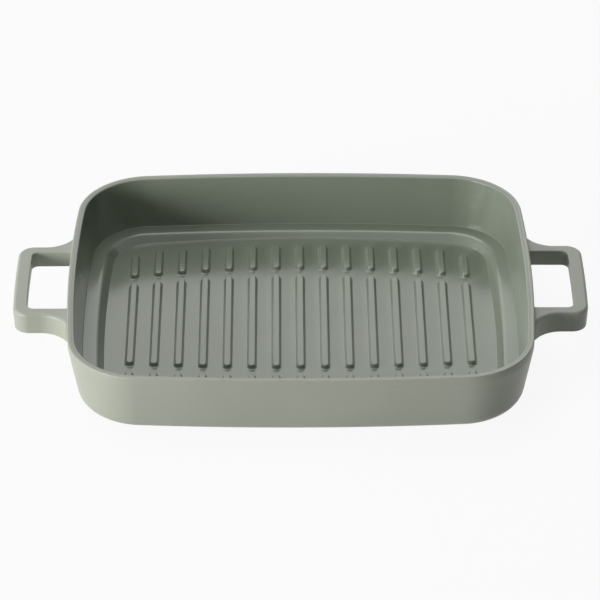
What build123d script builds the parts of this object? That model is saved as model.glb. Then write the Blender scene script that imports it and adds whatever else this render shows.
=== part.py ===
"""A rectangular cast grill pan with two loop handles and an induction base.

Millimetres. The origin is on the table under the middle of the pan, X runs
from handle to handle, Y from front to back and Z up.
"""

from build123d import *

import math
import os

# Pan, outside
rim_length = 290.0
rim_width = 242.0
rim_height = 43.4
rim_corner = 46.0
rim_thickness = 4.2
rim_chamfer = 0.8
rim_band = 5.0
side_bow_radius = 1550.0
end_bow_radius = 1040.0
wall_draft = 10.0
base_rounding = 10.0
foot_height = 1.2
foot_inset = 2.5

# Pan, inside
inside_draft = 7.5
ledge_height = 8.2
ledge_width = 8.8
ledge_fillet = 4.5
ledge_chamfer = 1.0
floor_flank_angle = 45.0
floor_middle_height = 5.8
floor_camber = 2.4

# Grill ribs
rib_pitch = 15.2
rib_foot_width = 6.0
rib_crown_width = 3.8
rib_crown_chamfer = 0.6
rib_height = 2.6
rib_root = 0.6
rib_end_chamfer = 1.8
rib_end_length = 27.2
rib_field_end_inset = 5.5
rib_field_side_inset = 15.0
rib_field_corner = 30.0
rib_field_clear = 8.0
gap_bow = 6.9
gap_width = 4.6

# Loop handles
handle_reach = 33.9
handle_width = 79.6
handle_drop = 5.2
handle_depth = 14.3
handle_draft = 4.0
handle_bar = 9.3
handle_arm = 7.4
handle_corner = 10.0
handle_hole_corner = 3.0
handle_hole_depth = 9.4
handle_land = 2.0
handle_flare = 18.5
handle_flare_start = 16.5
handle_flare_angle = 54.0
handle_root_flare = 4.0
handle_root_flare_start = 1.5
handle_chamfer = 0.8
handle_root_overlap = 6.0

# Induction base
plate_inset = 15.0
plate_thickness = 0.8
plate_recess = 0.3
plate_clearance = 0.15

# Heights and runs worked out from the sizes above
wall_run = (rim_height - rim_band - foot_height) * math.tan(math.radians(wall_draft))
ledge_run = rim_thickness + (rim_height - ledge_height) * math.tan(math.radians(inside_draft))
ledge_edge = ledge_run + ledge_width
flank_slope = 1 / math.tan(math.radians(floor_flank_angle))
flank_end = ledge_edge + (ledge_height - foot_height) * flank_slope
floor_end_height = floor_middle_height - floor_camber
floor_half_length = rim_length / 2 - ledge_edge - (ledge_height - floor_end_height) * flank_slope
floor_half_width = rim_width / 2 - ledge_edge - (ledge_height - floor_middle_height) * flank_slope
floor_radius = (floor_half_length**2 + floor_camber**2) / (2 * floor_camber)


def inset_outline(inset):
    """The pan's plan, drawn in by an inset: what four large circles share, with round corners."""
    side_radius = side_bow_radius - inset
    end_radius = end_bow_radius - inset
    side_centre = rim_width / 2 - side_bow_radius
    end_centre = rim_length / 2 - end_bow_radius
    with BuildSketch() as outline:
        with Locations((0, side_centre)):
            Circle(side_radius)
        with Locations((0, -side_centre)):
            Circle(side_radius, mode=Mode.INTERSECT)
        with Locations((end_centre, 0)):
            Circle(end_radius, mode=Mode.INTERSECT)
        with Locations((-end_centre, 0)):
            Circle(end_radius, mode=Mode.INTERSECT)
        fillet(outline.vertices(), rim_corner - inset)
    return outline.sketch


def floor_height(x):
    """Height of the crowned floor at a distance from the pan's middle."""
    return floor_middle_height - floor_radius + math.sqrt(floor_radius**2 - x**2)


# The wall, its rim and the ledge are one section, carried round the rim's outline
rim_path = inset_outline(0).wire()
outward = (rim_path % 0).cross(Vector(0, 0, 1))
section_plane = Plane(origin=rim_path @ 0, x_dir=outward, z_dir=-(rim_path % 0))

rim_outer = (0, rim_height)
rim_inner = (-rim_thickness, rim_height)
wall_foot = (-wall_run, foot_height)
ledge_outer = (-ledge_run, ledge_height)
ledge_inner = (-ledge_edge, ledge_height)

with BuildPart() as wall_ring:
    with BuildSketch(section_plane) as section:
        with BuildLine():
            Polyline(
                rim_outer,
                (0, rim_height - rim_band),
                wall_foot,
                (-flank_end, foot_height),
                ledge_inner,
                ledge_outer,
                rim_inner,
                rim_outer,
            )
        make_face()
        fillet(section.vertices().sort_by_distance(wall_foot)[0], base_rounding)
        fillet(section.vertices().sort_by_distance(ledge_outer)[0], ledge_fillet)
        chamfer(section.vertices().sort_by_distance(ledge_inner)[0], ledge_chamfer)
        chamfer(section.vertices().sort_by_distance(rim_inner)[0], rim_chamfer)
        chamfer(section.vertices().sort_by_distance(rim_outer)[0], rim_chamfer)
    sweep(path=rim_path)

# The floor inside the ledge, crowned so that fat runs to the ends
with BuildPart() as floor_slab:
    with BuildSketch(Plane.XZ):
        with BuildLine():
            end_height = floor_height(rim_length / 2)
            floor_left = (-rim_length / 2, end_height)
            floor_right = (rim_length / 2, end_height)
            ThreePointArc(floor_left, (0, floor_middle_height), floor_right)
            Polyline(
                floor_right,
                (rim_length / 2, foot_height),
                (-rim_length / 2, foot_height),
                floor_left,
            )
        make_face()
    extrude(amount=rim_width / 2, both=True)
    with BuildSketch(Plane.XY.offset(foot_height)):
        add(inset_outline(ledge_edge))
    extrude(amount=ledge_height, mode=Mode.INTERSECT)

# The grill ribs, each in three lengths whose ends are cut round in three flats
rib_field_half_length = floor_half_length - rib_field_end_inset
rib_field_half_width = floor_half_width - rib_field_side_inset
gap_middle = rib_field_half_width - rib_end_length - gap_width / 2
ribs_each_side = int((rib_field_half_length - rib_field_clear) / rib_pitch)
rib_places = [step * rib_pitch for step in range(-ribs_each_side, ribs_each_side + 1)]


def rib_reach(x):
    """How far a rib runs from the middle line, with the field's corners rounded."""
    bowed = rib_field_half_width - x**2 / (2 * side_bow_radius)
    past_corner = max(0, abs(x) - (rib_field_half_length - rib_field_corner))
    return bowed - rib_field_corner + math.sqrt(rib_field_corner**2 - past_corner**2)


def rib_gap(x):
    """Where the gap between two lengths of a rib lies."""
    return gap_middle - gap_bow * (x / rib_places[-1]) ** 2


with BuildPart() as grill_ribs:
    for x in rib_places:
        middle_length = 2 * rib_gap(x) - gap_width
        outer_length = rib_reach(x) - rib_gap(x) - gap_width / 2
        outer_middle = rib_reach(x) - outer_length / 2
        with BuildSketch(Plane.XY.offset(floor_height(x) - rib_root)) as rib_plan:
            with Locations((x, 0)):
                Rectangle(rib_foot_width, middle_length)
            with Locations((x, outer_middle), (x, -outer_middle)):
                Rectangle(rib_foot_width, outer_length)
            chamfer(rib_plan.vertices(), rib_end_chamfer)
        extrude(amount=rib_root + rib_height)
    with BuildSketch(Plane.XZ):
        for x in rib_places:
            crown = floor_height(x) + rib_height
            shoulder = crown - rib_crown_chamfer
            with BuildLine():
                Polyline(
                    (x - rib_foot_width / 2, floor_height(x) - rib_root),
                    (x - rib_foot_width / 2, floor_height(x)),
                    (x - rib_crown_width / 2 - rib_crown_chamfer / 2, shoulder),
                    (x - rib_crown_width / 2 + rib_crown_chamfer / 2, crown),
                    (x + rib_crown_width / 2 - rib_crown_chamfer / 2, crown),
                    (x + rib_crown_width / 2 + rib_crown_chamfer / 2, shoulder),
                    (x + rib_foot_width / 2, floor_height(x)),
                    (x + rib_foot_width / 2, floor_height(x) - rib_root),
                    close=True,
                )
            make_face()
    extrude(amount=rim_width / 2, both=True, mode=Mode.INTERSECT)

# The foot under the base, and the seat of the steel plate in it
foot_run = wall_run + base_rounding + foot_inset
plate_run = foot_run + plate_inset

with BuildPart() as pan_body:
    add(wall_ring.part)
    add(floor_slab.part)
    add(grill_ribs.part)
    with BuildSketch():
        add(inset_outline(foot_run))
    extrude(amount=foot_height)
    with BuildSketch():
        add(inset_outline(plate_run - plate_clearance))
    extrude(amount=plate_recess + plate_thickness, mode=Mode.SUBTRACT)

pan_body.part.label = "pan_body"

# The induction base: a steel sheet seated in the foot
with BuildPart() as induction_base:
    with BuildSketch(Plane.XY.offset(plate_recess)):
        add(inset_outline(plate_run))
    extrude(amount=plate_thickness)

induction_base.part.label = "induction_base"

# The loop handles: cast loops, their outside drafted and their underside rising towards the hole
handle_top = rim_height - handle_drop
handle_bottom = handle_top - handle_depth
handle_end = rim_length / 2 + handle_reach
handle_bow_radius = end_bow_radius + handle_reach
root_plane = rim_length / 2 - handle_root_overlap
draft_run = handle_depth * math.tan(math.radians(handle_draft))
hole_rise = handle_depth - handle_hole_depth
underside_run = handle_arm - handle_land - draft_run
underside_slope = math.degrees(math.atan2(underside_run, hole_rise))


def loop_outline(half_width, end, flare_start, flare, turn, corner):
    """One edge of the loop: a bowed bar, round corners, straight arms and ends that turn."""
    bow = handle_bow_radius - handle_end + end
    with BuildSketch() as outline:
        with BuildLine():
            root_arc = JernArc((flare_start, half_width), (-1, 0), flare, turn)
            arc_end = root_arc @ 1
            rise = (arc_end.X - root_plane) * math.tan(math.radians(-turn))
            Line(arc_end, (root_plane, arc_end.Y + rise))
            Line((root_plane, arc_end.Y + rise), (root_plane, 0))
            bar = CenterArc((end - bow, 0), bow, 0, math.degrees(math.asin(half_width / bow)))
            Line((flare_start, half_width), bar @ 1)
            mirror(about=Plane.XZ)
        make_face()
        corner_x = (bar @ 1).X
        for y in (half_width, -half_width):
            fillet(outline.vertices().sort_by_distance((corner_x, y))[0], corner)
    return outline.sketch


hole_half_width = handle_width / 2 - handle_arm
outer_loop = loop_outline(
    handle_width / 2,
    handle_end,
    rim_length / 2 + handle_flare_start,
    handle_flare,
    -handle_flare_angle,
    handle_corner,
)
hole_loop = loop_outline(
    hole_half_width,
    handle_end - handle_bar,
    rim_length / 2 + handle_root_flare_start,
    handle_root_flare,
    handle_flare_angle,
    handle_hole_corner,
)

# What the handles must keep out of: the wall, and the space that it closes round
with BuildPart() as filled_pan:
    add(wall_ring.part)
    with BuildSketch(Plane.XY.offset(handle_bottom)):
        add(inset_outline(rim_thickness))
    extrude(amount=handle_depth)

with BuildPart() as right_handle:
    with BuildSketch(Plane.XY.offset(handle_top)):
        add(outer_loop)
    extrude(amount=-handle_depth, taper=handle_draft)
    with BuildSketch(Plane.XY.offset(handle_top)):
        add(hole_loop)
    extrude(amount=-handle_depth, mode=Mode.SUBTRACT)
    top_face = right_handle.faces().sort_by(Axis.Z)[-1]
    chamfer(top_face.edges(), handle_chamfer)
    with BuildSketch(Plane.XY.offset(handle_bottom + hole_rise)):
        add(hole_loop)
    extrude(amount=-hole_rise, taper=-underside_slope, mode=Mode.SUBTRACT)
    add(filled_pan.part, mode=Mode.SUBTRACT)

with BuildPart() as left_handle:
    add(right_handle.part)
    mirror(about=Plane.YZ, mode=Mode.REPLACE)

right_handle.part.label = "right_handle"
left_handle.part.label = "left_handle"

os.makedirs("parts", exist_ok=True)
export_step(pan_body.part, "parts/pan_body.step")
export_step(induction_base.part, "parts/induction_base.step")
export_step(left_handle.part, "parts/left_handle.step")
export_step(right_handle.part, "parts/right_handle.step")
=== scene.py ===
# %% [markdown]
# # A cast grill pan
#
# The real pan is taken to be one aluminium casting: a deep rectangular body with round corners,
# fifteen rows of interrupted ribs on its floor and a loop handle at each end. The inside has a
# glossy coat and the outside a satin one. The picture can't show the foot, but such pans mostly
# have a sheet of magnetic steel pressed into it, so this one has it too.
#
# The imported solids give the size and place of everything. This lesson loads them first, so that
# each new mesh can be laid where its solid is.

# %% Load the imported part
import math

import bmesh
import bpy
from mathutils import Matrix, Vector


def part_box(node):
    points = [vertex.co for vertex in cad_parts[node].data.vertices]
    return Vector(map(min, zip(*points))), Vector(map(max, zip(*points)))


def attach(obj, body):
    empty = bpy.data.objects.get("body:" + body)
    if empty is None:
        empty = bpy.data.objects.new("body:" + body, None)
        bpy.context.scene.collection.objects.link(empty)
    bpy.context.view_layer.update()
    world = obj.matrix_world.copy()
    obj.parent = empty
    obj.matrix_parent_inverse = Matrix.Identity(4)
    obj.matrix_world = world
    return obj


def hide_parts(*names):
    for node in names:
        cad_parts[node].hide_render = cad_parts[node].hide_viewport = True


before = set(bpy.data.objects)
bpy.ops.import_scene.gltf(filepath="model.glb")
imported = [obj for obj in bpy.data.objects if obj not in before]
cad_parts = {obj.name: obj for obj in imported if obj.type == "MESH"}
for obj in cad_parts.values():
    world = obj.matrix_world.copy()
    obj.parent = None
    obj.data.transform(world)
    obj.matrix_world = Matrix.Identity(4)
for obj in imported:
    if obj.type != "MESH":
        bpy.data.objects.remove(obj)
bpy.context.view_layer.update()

mm = 0.001
weld = 0.001 * mm
print("nodes:", sorted(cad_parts))

# %% [markdown]
# ## The outline of the rim
#
# Seen from above, the rim is a rectangle whose four sides bow out a little and meet in round
# corners. It could be a rounded rectangle primitive, but then the sides would be dead straight.
# Here a single point is spun about three centres, one for each arc of a quarter, and two mirrors
# close the ring. Every point also keeps two values on the mesh: its home on the rim and its way
# outwards. An extruded copy inherits them, so any later ring is the home moved inwards by an inset,
# which keeps the walls parallel right round the corners.

# %% The three arcs of a quarter
pan_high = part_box("pan_body")[1]
rim_height = pan_high.z
rim_corner = 46 * mm
side_bow_radius = 1550 * mm
end_bow_radius = 1040 * mm

side_centre = Vector((0, pan_high.y - side_bow_radius))
end_centre = Vector((pan_high.x - end_bow_radius, 0))
between = end_centre - side_centre
side_reach = side_bow_radius - rim_corner
end_reach = end_bow_radius - rim_corner
along = (between.length**2 + side_reach**2 - end_reach**2) / (2 * between.length)
across = math.sqrt(side_reach**2 - along**2)
ahead = between.normalized()
corner_centre = side_centre + ahead * along + Vector((ahead.y, -ahead.x)) * across
end_turn = math.atan2(corner_centre.y - end_centre.y, corner_centre.x - end_centre.x)
side_turn = math.atan2(corner_centre.y - side_centre.y, corner_centre.x - side_centre.x)
print("corner centre, mm:", [round(value / mm, 2) for value in corner_centre])


# %% Helpers that spin a point and mirror an outline
def only(kind, made):
    """The points, edges or faces among what an operator made."""
    return [item for item in made if isinstance(item, kind)]


def spin_on(bm, point, centre, angle, steps):
    """Carries a point along an arc about an upright axis and gives the arc's last point."""
    made = bmesh.ops.spin(
        bm, geom=[point], cent=(centre[0], centre[1], 0), axis=(0, 0, 1), angle=angle, steps=steps
    )
    return only(bmesh.types.BMVert, made["geom_last"])[0]


def edges_at(points):
    """The edges that meet some points, each once and always in the same order."""
    return list(dict.fromkeys(edge for point in points for edge in point.link_edges))


def mirror_outline(bm, points, axis):
    """Closes half an outline with its mirror image and gives all its points."""
    made = bmesh.ops.mirror(bm, geom=points + edges_at(points), merge_dist=weld, axis=axis)
    both = points + only(bmesh.types.BMVert, made["geom"])
    return list(dict.fromkeys(point for point in both if point.is_valid))


def new_outline_mesh():
    """An empty mesh whose points know their home on an outline and their way outwards."""
    bm = bmesh.new()
    bm.verts.layers.float_vector.new("home")
    bm.verts.layers.float_vector.new("outward")
    return bm


def settle(bm, points, outward_at):
    """Writes each point's home and its way outwards."""
    home = bm.verts.layers.float_vector["home"]
    outward = bm.verts.layers.float_vector["outward"]
    for point in points:
        point[home] = point.co
        point[outward] = outward_at(point.co)


def ring_edges(points):
    """The edges that join the points of one ring."""
    known = set(points)
    return [edge for edge in edges_at(points) if set(edge.verts) <= known]


# %% Spin the rim's outline
end_steps = 10
corner_steps = 24
side_steps = 12


def rim_outward(place):
    """The way outwards at a point of the rim, from the centre of the arc that it lies on."""
    quarter = Vector((abs(place.x), abs(place.y)))
    from_end = quarter - end_centre
    from_side = quarter - side_centre
    if math.atan2(from_end.y, from_end.x) < end_turn:
        way = from_end
    elif math.atan2(from_side.y, from_side.x) > side_turn:
        way = from_side
    else:
        way = quarter - corner_centre
    way.normalize()
    return Vector((math.copysign(way.x, place.x), math.copysign(way.y, place.y), 0))


def rim_ring(bm):
    """The whole outline of the rim, as a ring of points that know their way outwards."""
    start = bm.verts.new((pan_high.x, 0, 0))
    corner = spin_on(bm, start, end_centre, end_turn, end_steps)
    side = spin_on(bm, corner, corner_centre, side_turn - end_turn, corner_steps)
    spin_on(bm, side, side_centre, math.pi / 2 - side_turn, side_steps)
    half = mirror_outline(bm, list(bm.verts), "X")
    ring = mirror_outline(bm, half, "Y")
    settle(bm, ring, rim_outward)
    return ring


# %% [markdown]
# ## Rounded sections
#
# A casting has no sharp edge anywhere, because the metal has to flow and the coat has to hold. A
# bevel modifier would round the edges afterwards, but it rounds them all alike. Each section here
# is a short list of corners with a radius of its own, and a helper turns every corner into an arc.


# %% A helper for rounded sections
arc_step = math.radians(9)


def rounded(corners):
    """Points along corners of (across, up, radius), with an arc wherever there is a radius."""
    points = []
    for place, (across, up, radius) in enumerate(corners):
        corner = Vector((across, up))
        if radius == 0:
            points.append(corner)
            continue
        back = (Vector(corners[place - 1][:2]) - corner).normalized()
        on = (Vector(corners[place + 1][:2]) - corner).normalized()
        turn = math.pi - back.angle(on)
        centre = corner + (back + on).normalized() * (radius / math.cos(turn / 2))
        spoke = corner + back * (radius * math.tan(turn / 2)) - centre
        steps = max(2, math.ceil(turn / arc_step))
        way = math.copysign(turn / steps, back.y * on.x - back.x * on.y)
        for step in range(steps + 1):
            points.append(centre + Matrix.Rotation(way * step, 2) @ spoke)
    return points


def carry(bm, ring, section_at, finish):
    """Extrudes a ring once for each inset and height of a section and gives the last ring."""
    home = bm.verts.layers.float_vector["home"]
    outward = bm.verts.layers.float_vector["outward"]
    for row in range(len(section_at(ring[0].verts[0]))):
        made = bmesh.ops.extrude_edge_only(bm, edges=ring)["geom"]
        points = only(bmesh.types.BMVert, made)
        for point in points:
            inset, height = section_at(point)[row]
            point.co = point[home] - point[outward] * inset
            point.co.z = height
        for face in only(bmesh.types.BMFace, made):
            face.material_index = finish
        ring = ring_edges(points)
    return ring


def place_ring(bm, points, inset, height):
    """Puts an outline's first ring where its section starts and gives its edges."""
    home = bm.verts.layers.float_vector["home"]
    outward = bm.verts.layers.float_vector["outward"]
    for point in points:
        point.co = point[home] - point[outward] * inset
        point.co.z = height
    return ring_edges(points)


# %% [markdown]
# ## The pan's body
#
# The wall leans out by ten degrees so that the casting leaves its mould, and turns upright for the
# last few millimetres under the rim. The rim's top falls a little to the inside. From it the wall
# runs down to a shallow ledge that goes right round, and the floor lies a little lower, crowned so
# that fat runs off to the ends. It could be a box with an inset floor, but one section carried
# round the rim's outline keeps every line parallel to it. The section starts in the seat of the
# steel plate, goes out round the foot, up the wall, over the rim and down to the floor.

# %% Sizes of the body's section
rim_thickness = 4.2 * mm
rim_fall = 0.4 * mm
rim_rounding = 0.8 * mm
rim_band = 5.0 * mm
band_blend = 9.0 * mm
wall_draft = math.tan(math.radians(10))
base_rounding = 10 * mm
foot_height = 1.2 * mm
foot_inset = 2.5 * mm
foot_rounding = 0.4 * mm
plate_inset = 15 * mm
plate_depth = 1.1 * mm
inside_draft = math.tan(math.radians(7.5))
ledge_height = 9.5 * mm
ledge_width = 8.8 * mm
ledge_cove = 0.35 * mm
ledge_rounding = 4.5 * mm
floor_middle_height = 5.8 * mm
floor_camber = 2.4 * mm
floor_toe = 0.3 * mm
floor_flank = 0.7
floor_margin = 2.6 * mm
toe_rounds = 3

wall_run = (rim_height - rim_band - foot_height) * wall_draft
foot_run = wall_run + base_rounding + foot_inset
ledge_run = rim_thickness + (rim_height - ledge_height) * inside_draft
ledge_edge = ledge_run + ledge_width
floor_end_height = floor_middle_height - floor_camber
floor_half_length = pan_high.x - ledge_edge - (ledge_height - floor_end_height) * floor_flank
floor_half_width = pan_high.y - ledge_edge - (ledge_height - floor_middle_height) * floor_flank
floor_radius = (floor_half_length**2 + floor_camber**2) / (2 * floor_camber)


def floor_height(x):
    """Height of the crowned floor at a distance from the pan's middle."""
    return floor_middle_height - floor_radius + math.sqrt(floor_radius**2 - x**2)


# %% The section outside the rim
outside_section = rounded(
    [
        (foot_run + plate_inset, plate_depth, 0),
        (foot_run + plate_inset, 0, foot_rounding),
        (foot_run, 0, foot_rounding),
        (foot_run, foot_height, foot_rounding),
        (wall_run, foot_height, base_rounding),
        (0, rim_height - rim_band, band_blend),
        (0, rim_height, rim_rounding),
        (rim_thickness / 2, rim_height - rim_fall / 2, 0),
    ]
)

# %% The section inside the rim, down to the ledge's edge
inside_section = rounded(
    [
        (rim_thickness / 2, rim_height - rim_fall / 2, 0),
        (rim_thickness, rim_height - rim_fall, rim_rounding),
        (ledge_run, ledge_height, ledge_cove),
        (ledge_edge - ledge_rounding, ledge_height, 0),
    ]
)[1:]


# %% The section from the ledge's edge to the crowned floor
def toe_section(point):
    """The drop to the floor at one point of the outline, where the floor has its own height."""
    home = pan_bm.verts.layers.float_vector["home"]
    outward = pan_bm.verts.layers.float_vector["outward"]
    toe = ledge_edge
    for _ in range(toe_rounds):
        low = floor_height(point[home].x - point[outward].x * toe)
        toe = ledge_edge + (ledge_height - low) * floor_flank
    return rounded(
        [
            (ledge_edge - ledge_rounding, ledge_height, 0),
            (ledge_edge, ledge_height, ledge_rounding),
            (toe, low, floor_toe),
            (toe + floor_margin, low, 0),
        ]
    )[1:]


# %% Carry the section round the rim
satin_place, glaze_place = 0, 1

pan_bm = new_outline_mesh()
rim_points = rim_ring(pan_bm)
seat = place_ring(pan_bm, rim_points, *outside_section[0])
for face in bmesh.ops.edgeloop_fill(pan_bm, edges=seat)["faces"]:
    face.material_index = satin_place
rim_top = carry(pan_bm, seat, lambda point: outside_section[1:], satin_place)
ledge = carry(pan_bm, rim_top, lambda point: inside_section, glaze_place)
carry(pan_bm, ledge, toe_section, glaze_place)
print("rings of", len(rim_points), "points:", len(pan_bm.verts) // len(rim_points))

# %% [markdown]
# ## The grill ribs
#
# The ribs lift the food out of its fat and sear it in lines. Each row is cut into three lengths by
# two gaps, which lie on a slight bow, and every length ends in a half round. They could be
# stretched spheres or bevelled boxes, but cast ribs have a broad foot that flows into the floor. So
# each length starts as its foot's outline on the floor, and the same carrying raises it to a softly
# flat crown.

# %% Sizes of the ribs
rib_pitch = 15.2 * mm
rib_foot_half = 3.6 * mm
rib_foot_inset = 0.7 * mm
rib_shoulder_inset = 1.75 * mm
rib_height = 2.7 * mm
rib_foot_cove = 1.0 * mm
rib_shoulder_rounding = 0.75 * mm
rib_crown_half = 0.2 * mm
rib_field_end_inset = 6.2 * mm
rib_field_side_inset = 11.5 * mm
rib_field_corner = 26 * mm
rib_field_clear = 8 * mm
gap_middle = 56.9 * mm
gap_bow = 6.9 * mm
gap_width = 7 * mm
rib_end_steps = 12
floor_strip = rib_pitch / 2

field_half_length = floor_half_length - rib_field_end_inset
field_half_width = floor_half_width - rib_field_side_inset
ribs_each_side = int((field_half_length - rib_field_clear) / rib_pitch)
rib_places = [step * rib_pitch for step in range(-ribs_each_side, ribs_each_side + 1)]


def rib_reach(x):
    """How far a row of ribs runs from the middle line, with the field's corners rounded."""
    bowed = field_half_width - x**2 / (2 * side_bow_radius)
    past_corner = max(0, abs(x) - (field_half_length - rib_field_corner))
    return bowed - rib_field_corner + math.sqrt(rib_field_corner**2 - past_corner**2)


def rib_gap(x):
    """Where the gap between two lengths of a rib lies."""
    return gap_middle - gap_bow * (x / rib_places[-1]) ** 2


# %% One rib from its foot to its crown
rib_profile = rounded(
    [
        (0, 0, 0),
        (rib_foot_inset, 0, rib_foot_cove),
        (rib_shoulder_inset, rib_height, rib_shoulder_rounding),
        (rib_foot_half - rib_crown_half, rib_height, 0),
    ]
)[1:]


def rib_mesh(length):
    """One rib length about the middle: its foot is two half rounds joined by straight sides."""
    bm = new_outline_mesh()
    straight = length / 2 + rib_foot_inset - rib_foot_half
    start = bm.verts.new((rib_foot_half, straight, 0))
    end = spin_on(bm, start, (0, straight), math.pi, rib_end_steps)
    for point in bmesh.ops.extrude_vert_indiv(bm, verts=[start, end])["verts"]:
        point.co.y = 0

    def way(place):
        past = max(0, abs(place.y) - straight)
        return Vector((place.x, math.copysign(past, place.y), 0)).normalized()

    foot = mirror_outline(bm, list(bm.verts), "Y")
    settle(bm, foot, way)
    crown = carry(bm, ring_edges(foot), lambda point: rib_profile, glaze_place)
    for face in bmesh.ops.edgeloop_fill(bm, edges=crown)["faces"]:
        face.material_index = glaze_place
    return bm


def stand_on_floor(bm, x, y):
    """Moves a rib to its place, where each of its points rises by the floor's height there."""
    bmesh.ops.translate(bm, vec=(x, y, 0), verts=bm.verts)
    for point in bm.verts:
        point.co.z += floor_height(point.co.x)


def absorb(bm, other):
    """Adds another mesh to this one."""
    carrier = bpy.data.meshes.new("carrier")
    other.to_mesh(carrier)
    other.free()
    bm.from_mesh(carrier)
    bpy.data.meshes.remove(carrier)


# %% Stand every rib on the floor
for x in rib_places:
    middle_length = 2 * rib_gap(x) - gap_width
    outer_length = rib_reach(x) - rib_gap(x) - gap_width / 2
    outer_middle = rib_reach(x) - outer_length / 2
    lengths = ((outer_length, -outer_middle), (middle_length, 0), (outer_length, outer_middle))
    for length, y in lengths:
        rib_bm = rib_mesh(length)
        stand_on_floor(rib_bm, x, y)
        absorb(pan_bm, rib_bm)

# %% Fill the floor between the ribs
# The fill joins points that stand far apart, and its straight edges would cut through the crown. So
# it is cut in strips along the ribs, whose points rise to the crown.
open_rings = [edge for edge in pan_bm.edges if edge.is_boundary]
walls_and_ribs = set(pan_bm.faces)
bmesh.ops.triangle_fill(pan_bm, use_beauty=True, edges=open_rings, normal=(0, 0, 1))

strips_each_side = int(floor_half_length / floor_strip)
for strip in range(-strips_each_side, strips_each_side + 1):
    cut_faces = [face for face in pan_bm.faces if face not in walls_and_ribs]
    cut_edges = list(dict.fromkeys(edge for face in cut_faces for edge in face.edges))
    cut_points = list(dict.fromkeys(point for edge in cut_edges for point in edge.verts))
    cut = bmesh.ops.bisect_plane(
        pan_bm, geom=cut_points + cut_edges + cut_faces, dist=weld,
        plane_co=(strip * floor_strip, 0, 0), plane_no=(1, 0, 0),
    )
    for point in only(bmesh.types.BMVert, cut["geom_cut"]):
        point.co.z = floor_height(point.co.x)

floor_faces = [face for face in pan_bm.faces if face not in walls_and_ribs]
for face in floor_faces:
    face.material_index = glaze_place
print("ribs:", len(rib_places), "rows of three; floor faces:", len(floor_faces))


# %% Helpers that finish a mesh
def sort_by_place(parts, place):
    """Lists points or faces by place, because operators may list them otherwise in each run."""
    in_order = sorted(parts, key=lambda part: place(part)[:])
    rank = {part: number for number, part in enumerate(in_order)}
    parts.sort(key=rank.get)


def finish_piece(bm, name, finishes):
    """Closes a mesh's seams, turns its faces outwards and makes it a smooth object."""
    bmesh.ops.remove_doubles(bm, verts=bm.verts, dist=weld)
    bmesh.ops.recalc_face_normals(bm, faces=bm.faces)
    sort_by_place(bm.verts, lambda point: point.co)
    sort_by_place(bm.faces, lambda face: face.calc_center_median())
    for layer in ("home", "outward"):
        bm.verts.layers.float_vector.remove(bm.verts.layers.float_vector[layer])
    for face in bm.faces:
        face.smooth = True
    open_edges = sum(len(edge.link_faces) != 2 for edge in bm.edges)
    mesh = bpy.data.meshes.new(name)
    bm.to_mesh(mesh)
    bm.free()
    for finish in finishes:
        mesh.materials.append(finish)
    piece = bpy.data.objects.new(name, mesh)
    bpy.context.scene.collection.objects.link(piece)
    smooth = piece.modifiers.new("even_normals", "WEIGHTED_NORMAL")
    smooth.keep_sharp = True
    print(name, "faces:", len(mesh.polygons), "open edges:", open_edges)
    return piece


# %% Lay the body over its solid
satin_coat = bpy.data.materials.new("satin_coat")
glazed_coat = bpy.data.materials.new("glazed_coat")
plate_steel = bpy.data.materials.new("plate_steel")

pan_shell = finish_piece(pan_bm, "pan_shell", [satin_coat, glazed_coat])
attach(pan_shell, "root")
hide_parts("pan_body")

# %% [markdown]
# ## The loop handles
#
# Each handle is cast with the wall as a flat loop that four fingers pass through. Its arms flare
# where they leave the wall, its bar bows like the wall behind it, and its faces have draft so that
# the mould lets go. The picture can't show the underside. Here it slopes up to the finger hole, so
# that the bar sits well in the hand. A bent tube would have the wrong section, so two outlines are
# drawn from the same number of points, one round the outside and one round the hole. Each is
# carried through its own part of the section, and bridges join them over the top and under the
# slope.

# %% Sizes of the handles
handle_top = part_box("right_handle")[1].z
handle_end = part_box("right_handle")[1].x
handle_bow = end_bow_radius + handle_end - pan_high.x
handle_half_width = 39.8 * mm
handle_depth = 14.3 * mm
handle_draft = math.tan(math.radians(3))
handle_bar = 8.9 * mm
handle_arm = 7.4 * mm
handle_corner = 10 * mm
handle_hole_corner = 4.5 * mm
handle_hole_depth = 10.8 * mm
handle_land = 0.9 * mm
handle_flare = 18.5 * mm
handle_flare_start = 16.5 * mm
handle_root_flare = 4 * mm
handle_root_flare_start = 1.5 * mm
handle_flare_turn = math.radians(54)
handle_outer_rounding = 2.0 * mm
handle_hole_rounding = 0.7 * mm
handle_low_rounding = 0.5 * mm
handle_root = 140.6 * mm
root_overrun = 4 * mm
flare_steps = 14
bar_steps = 6
loop_corner_steps = 10

print("handle half width, mm:", round(handle_half_width / mm, 2))
print("handle bow radius, mm:", round(handle_bow / mm, 1))


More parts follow.
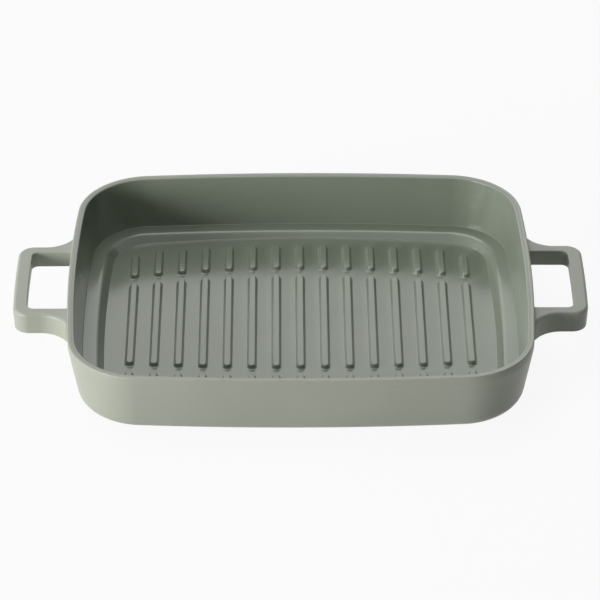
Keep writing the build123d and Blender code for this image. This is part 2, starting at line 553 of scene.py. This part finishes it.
# %% Draw one edge of the loop
def loop_ring(bm, half_width, end, flare_start, flare, turn, corner, inwards):
    """One edge of the loop, from root to root; its outward way is flipped for the finger hole."""
    before = set(bm.verts)
    bow = handle_bow - handle_end + end
    bow_place = Vector((end - bow, 0, 0))
    corner_y = half_width - corner
    corner_place = bow_place + Vector((math.sqrt((bow - corner) ** 2 - corner_y**2), corner_y, 0))
    bar_turn = math.atan2(corner_y, corner_place.x - bow_place.x)
    bent = spin_on(bm, bm.verts.new((end, 0, 0)), bow_place, bar_turn, bar_steps)
    turned = spin_on(bm, bent, corner_place, math.pi / 2 - bar_turn, loop_corner_steps)
    arm = bmesh.ops.extrude_vert_indiv(bm, verts=[turned])["verts"][0]
    arm.co.x = flare_start
    side = math.copysign(1, turn)
    flare_place = Vector((flare_start, half_width + side * flare, 0))
    root = spin_on(bm, arm, flare_place, -turn, flare_steps)
    last = bmesh.ops.extrude_vert_indiv(bm, verts=[root])["verts"][0]
    run = (root.co.x - handle_root + root_overrun) / math.cos(turn)
    last.co += Vector((-math.cos(turn), math.sin(turn), 0)) * run
    root_x, bent_y = root.co.x, bent.co.y
    ring = mirror_outline(bm, [point for point in bm.verts if point not in before], "Y")

    def way(place):
        quarter = Vector((place.x, abs(place.y), 0))
        if place.x < root_x:
            out = Vector((math.sin(turn), math.cos(turn), 0))
        elif place.x < flare_start:
            out = (flare_place - quarter) * side
        elif place.x < corner_place.x:
            out = Vector((0, 1, 0))
        elif quarter.y > bent_y:
            out = quarter - corner_place
        else:
            out = quarter - bow_place
        out.normalize()
        out.y = math.copysign(out.y, place.y) if place.y else out.y
        return -out if inwards else out

    settle(bm, ring, way)
    return ring


# %% Build one handle
handle_bottom = handle_top - handle_depth
hole_bottom = handle_top - handle_hole_depth

outer_draft_run = handle_depth * handle_draft
hole_draft_run = handle_hole_depth * handle_draft
land_end = outer_draft_run + handle_land

outer_section = rounded(
    [
        (handle_arm / 2, (handle_bottom + hole_bottom) / 2, 0),
        (land_end, handle_bottom, handle_low_rounding),
        (outer_draft_run, handle_bottom, handle_low_rounding),
        (0, handle_top, handle_outer_rounding),
        (handle_arm / 2, handle_top, 0),
    ]
)[1:-1]
hole_section = rounded(
    [
        (handle_arm / 2, handle_top, 0),
        (0, handle_top, handle_hole_rounding),
        (hole_draft_run, hole_bottom, handle_hole_rounding),
        (handle_arm - land_end, handle_bottom, 0),
    ]
)[1:-1]


def handle_mesh():
    """The right handle's mesh, cut flat inside the wall."""
    bm = new_outline_mesh()
    outer_points = loop_ring(
        bm, handle_half_width, handle_end, pan_high.x + handle_flare_start,
        handle_flare, handle_flare_turn, handle_corner, False,
    )
    outer_low = place_ring(bm, outer_points, *outer_section[0])
    outer_high = carry(bm, outer_low, lambda point: outer_section[1:], satin_place)
    hole_points = loop_ring(
        bm, handle_half_width - handle_arm, handle_end - handle_bar,
        pan_high.x + handle_root_flare_start,
        handle_root_flare, -handle_flare_turn, handle_hole_corner, True,
    )
    hole_high = place_ring(bm, hole_points, *hole_section[0])
    hole_low = carry(bm, hole_high, lambda point: hole_section[1:], satin_place)
    bmesh.ops.bridge_loops(bm, edges=outer_high + hole_high)
    bmesh.ops.bridge_loops(bm, edges=outer_low + hole_low)
    whole = list(bm.verts) + list(bm.edges) + list(bm.faces)
    bmesh.ops.bisect_plane(
        bm, geom=whole, plane_co=(handle_root, 0, 0), plane_no=(-1, 0, 0), clear_outer=True
    )
    root_edges = [edge for edge in bm.edges if edge.is_boundary]
    bmesh.ops.holes_fill(bm, edges=root_edges)
    return bm


# %% Lay a handle over each solid
for name, side in (("right", 1), ("left", -1)):
    handle_bm = handle_mesh()
    bmesh.ops.scale(handle_bm, vec=(side, 1, 1), verts=handle_bm.verts)
    handle = finish_piece(handle_bm, f"{name}_loop", [satin_coat])
    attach(handle, "root")
    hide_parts(f"{name}_handle")

# %% [markdown]
# ## The steel plate
#
# Aluminium does not heat on an induction hob, so such a pan carries a steel sheet in its foot. Its
# solid already has the right shape, so it stays as it is and only gets its finish.

# %% Dress the plate
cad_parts["induction_base"].data.materials.clear()
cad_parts["induction_base"].data.materials.append(plate_steel)

# %% [markdown]
# ## The camera
#
# The camera looks down at the pan's long side from well back, through a long lens. Nearer by, with
# a wide lens, the front of the pan would look too large against its back. The angles, the distance
# and the lens were fitted to the pan's outline, its rim and its rib rows in the picture. The camera
# is tilted by the elevation and then turned round the upright axis by the yaw.

# %% Place the camera
camera_elevation = math.radians(33)
camera_yaw = math.radians(-0.31)
camera_distance = 2329.28 * mm
camera_target = Vector((-0.25 * mm, 2.24 * mm, 21.2 * mm))
camera_lens = 221.98

camera = bpy.data.objects.new("camera", bpy.data.cameras.new("camera"))
bpy.context.scene.collection.objects.link(camera)
camera.data.lens = camera_lens
back = Vector((0, -math.cos(camera_elevation), math.sin(camera_elevation)))
turn = Matrix.Rotation(camera_yaw, 3, "Z")
camera.location = turn @ (camera_target + back * camera_distance)
camera.rotation_euler = (math.pi / 2 - camera_elevation, 0, camera_yaw)
bpy.context.scene.camera = camera

# %% [markdown]
# ## The coats
#
# Such coats are sprayed on and baked. A sprayed coat is never quite even: its colour drifts in soft
# clouds, and a fine grain breaks up its surface and its sheen. The outside is satin, and the inside
# is so glossy that the floor mirrors the walls. A plain colour would look like plastic, and a
# picture would stretch over the casting. So noise in the pan's own coordinates drives them all: a
# wide one the colour, and a fine one the roughness and the bump.


# %% A helper for sprayed coats
cloud_scale = 14
cloud_detail = 6
cloud_stops = (0.3, 0.7)
grain_detail = 3


def coat(material, colours, roughness, grain, relief):
    """Gives a material soft clouds between two colours, and a fine grain in its sheen and bump."""
    material.use_nodes = True
    tree = material.node_tree
    shader = tree.nodes["Principled BSDF"]
    place = tree.nodes.new("ShaderNodeTexCoord")

    clouds = tree.nodes.new("ShaderNodeTexNoise")
    clouds.inputs["Scale"].default_value = cloud_scale
    clouds.inputs["Detail"].default_value = cloud_detail
    tree.links.new(place.outputs["Object"], clouds.inputs["Vector"])
    tint = tree.nodes.new("ShaderNodeValToRGB")
    for stop, where, colour in zip(tint.color_ramp.elements, cloud_stops, colours):
        stop.position = where
        stop.color = (*colour, 1)
    tree.links.new(clouds.outputs["Fac"], tint.inputs["Fac"])
    tree.links.new(tint.outputs["Color"], shader.inputs["Base Color"])

    specks = tree.nodes.new("ShaderNodeTexNoise")
    specks.inputs["Scale"].default_value = grain
    specks.inputs["Detail"].default_value = grain_detail
    tree.links.new(place.outputs["Object"], specks.inputs["Vector"])
    sheen = tree.nodes.new("ShaderNodeMapRange")
    sheen.inputs["To Min"].default_value, sheen.inputs["To Max"].default_value = roughness
    tree.links.new(specks.outputs["Fac"], sheen.inputs["Value"])
    tree.links.new(sheen.outputs["Result"], shader.inputs["Roughness"])
    bump = tree.nodes.new("ShaderNodeBump")
    bump.inputs["Strength"].default_value = 1
    bump.inputs["Distance"].default_value = relief
    tree.links.new(specks.outputs["Fac"], bump.inputs["Height"])
    tree.links.new(bump.outputs["Normal"], shader.inputs["Normal"])
    return shader


# %% Mix the coats and the steel
satin_colours = ((0.312, 0.332, 0.275), (0.342, 0.362, 0.301))
satin = coat(satin_coat, satin_colours, roughness=(0.36, 0.48), grain=900, relief=0.015 * mm)
satin.inputs["IOR"].default_value = 1.52

glaze_colours = ((0.222, 0.256, 0.2), (0.244, 0.28, 0.22))
glaze = coat(glazed_coat, glaze_colours, roughness=(0.14, 0.22), grain=1300, relief=0.004 * mm)
glaze.inputs["IOR"].default_value = 1.55

steel_colours = ((0.5, 0.5, 0.5), (0.56, 0.56, 0.55))
steel = coat(plate_steel, steel_colours, roughness=(0.28, 0.42), grain=700, relief=0.01 * mm)
steel.inputs["Metallic"].default_value = 1

# %% [markdown]
# ## The studio
#
# The pan stands on a large pale floor in a white room. To the camera, and in reflections, the room
# is plain white and the floor is nearly so. For all other light the room gives off only a weak
# glow, and four soft lamps light the pan, so the coats keep their own colours and the floor keeps a
# shadow. Lamps alone could light a room until it looks white, but the same light would bleach the
# coats.

# %% The white room
bpy.context.scene.view_settings.view_transform = "Standard"


def show_white(tree, lit, white, output, rays):
    """Shows one shader to the named kinds of ray and the lit shader to all the others."""
    path = tree.nodes.new("ShaderNodeLightPath")
    shown = lit
    for ray in rays:
        mix = tree.nodes.new("ShaderNodeMixShader")
        tree.links.new(path.outputs[ray], mix.inputs["Fac"])
        tree.links.new(shown.outputs[0], mix.inputs[1])
        tree.links.new(white.outputs[0], mix.inputs[2])
        shown = mix
    tree.links.new(shown.outputs[0], output.inputs["Surface"])


white_rays = ("Is Camera Ray", "Is Glossy Ray", "Is Transmission Ray")
glow_strength = 0.03
world = bpy.data.worlds.new("studio")
bpy.context.scene.world = world
world.use_nodes = True
world_tree = world.node_tree
glow = world_tree.nodes["Background"]
glow.inputs["Color"].default_value = (1, 1, 1, 1)
glow.inputs["Strength"].default_value = glow_strength
room = world_tree.nodes.new("ShaderNodeBackground")
room.inputs["Color"].default_value = (1, 1, 1, 1)
room.inputs["Strength"].default_value = 1
show_white(world_tree, glow, room, world_tree.nodes["World Output"], white_rays)

# %% The floor
# It lies a hair below the foot, because two faces in one plane would flicker into each other.
floor_size = 6
floor_drop = 0.02 * mm
floor_grey = 0.72
floor_roughness = 0.9
floor_whiteness = 0.92

floor_bm = bmesh.new()
bmesh.ops.create_grid(floor_bm, x_segments=1, y_segments=1, size=floor_size)
bmesh.ops.translate(floor_bm, vec=(0, 0, -floor_drop), verts=floor_bm.verts)
floor_mesh = bpy.data.meshes.new("floor")
floor_bm.to_mesh(floor_mesh)
floor_bm.free()
studio_floor = bpy.data.objects.new("studio_floor", floor_mesh)
bpy.context.scene.collection.objects.link(studio_floor)

floor_paint = bpy.data.materials.new("floor_paint")
floor_paint.use_nodes = True
floor_mesh.materials.append(floor_paint)
floor_tree = floor_paint.node_tree
matt = floor_tree.nodes["Principled BSDF"]
matt.inputs["Base Color"].default_value = (floor_grey, floor_grey, floor_grey, 1)
matt.inputs["Roughness"].default_value = floor_roughness
bright = floor_tree.nodes.new("ShaderNodeEmission")
bright.inputs["Color"].default_value = (1, 1, 1, 1)
bright.inputs["Strength"].default_value = 1
pale = floor_tree.nodes.new("ShaderNodeMixShader")
pale.inputs["Fac"].default_value = floor_whiteness
floor_tree.links.new(matt.outputs[0], pale.inputs[1])
floor_tree.links.new(bright.outputs[0], pale.inputs[2])
show_white(floor_tree, matt, pale, floor_tree.nodes["Material Output"], white_rays)


# %% The lamps
def lamp(name, place, width, height, watts):
    """A soft rectangular lamp that looks at the pan."""
    light = bpy.data.lights.new(name, "AREA")
    light.shape = "RECTANGLE"
    light.size = width
    light.size_y = height
    light.energy = watts
    holder = bpy.data.objects.new(name, light)
    bpy.context.scene.collection.objects.link(holder)
    holder.location = place
    holder.rotation_euler = Vector(place).to_track_quat("Z", "Y").to_euler()


lamp("overhead", place=(-0.35, 0.4, 1.6), width=1.3, height=1.3, watts=13)
lamp("backdrop", place=(-0.4, 2.0, 1.15), width=2.6, height=1.6, watts=12.5)
lamp("key", place=(-1.4, -1.1, 0.31), width=0.8, height=0.6, watts=28.5)
lamp("side", place=(-1.7, -0.3, 0.4), width=0.7, height=0.7, watts=6)
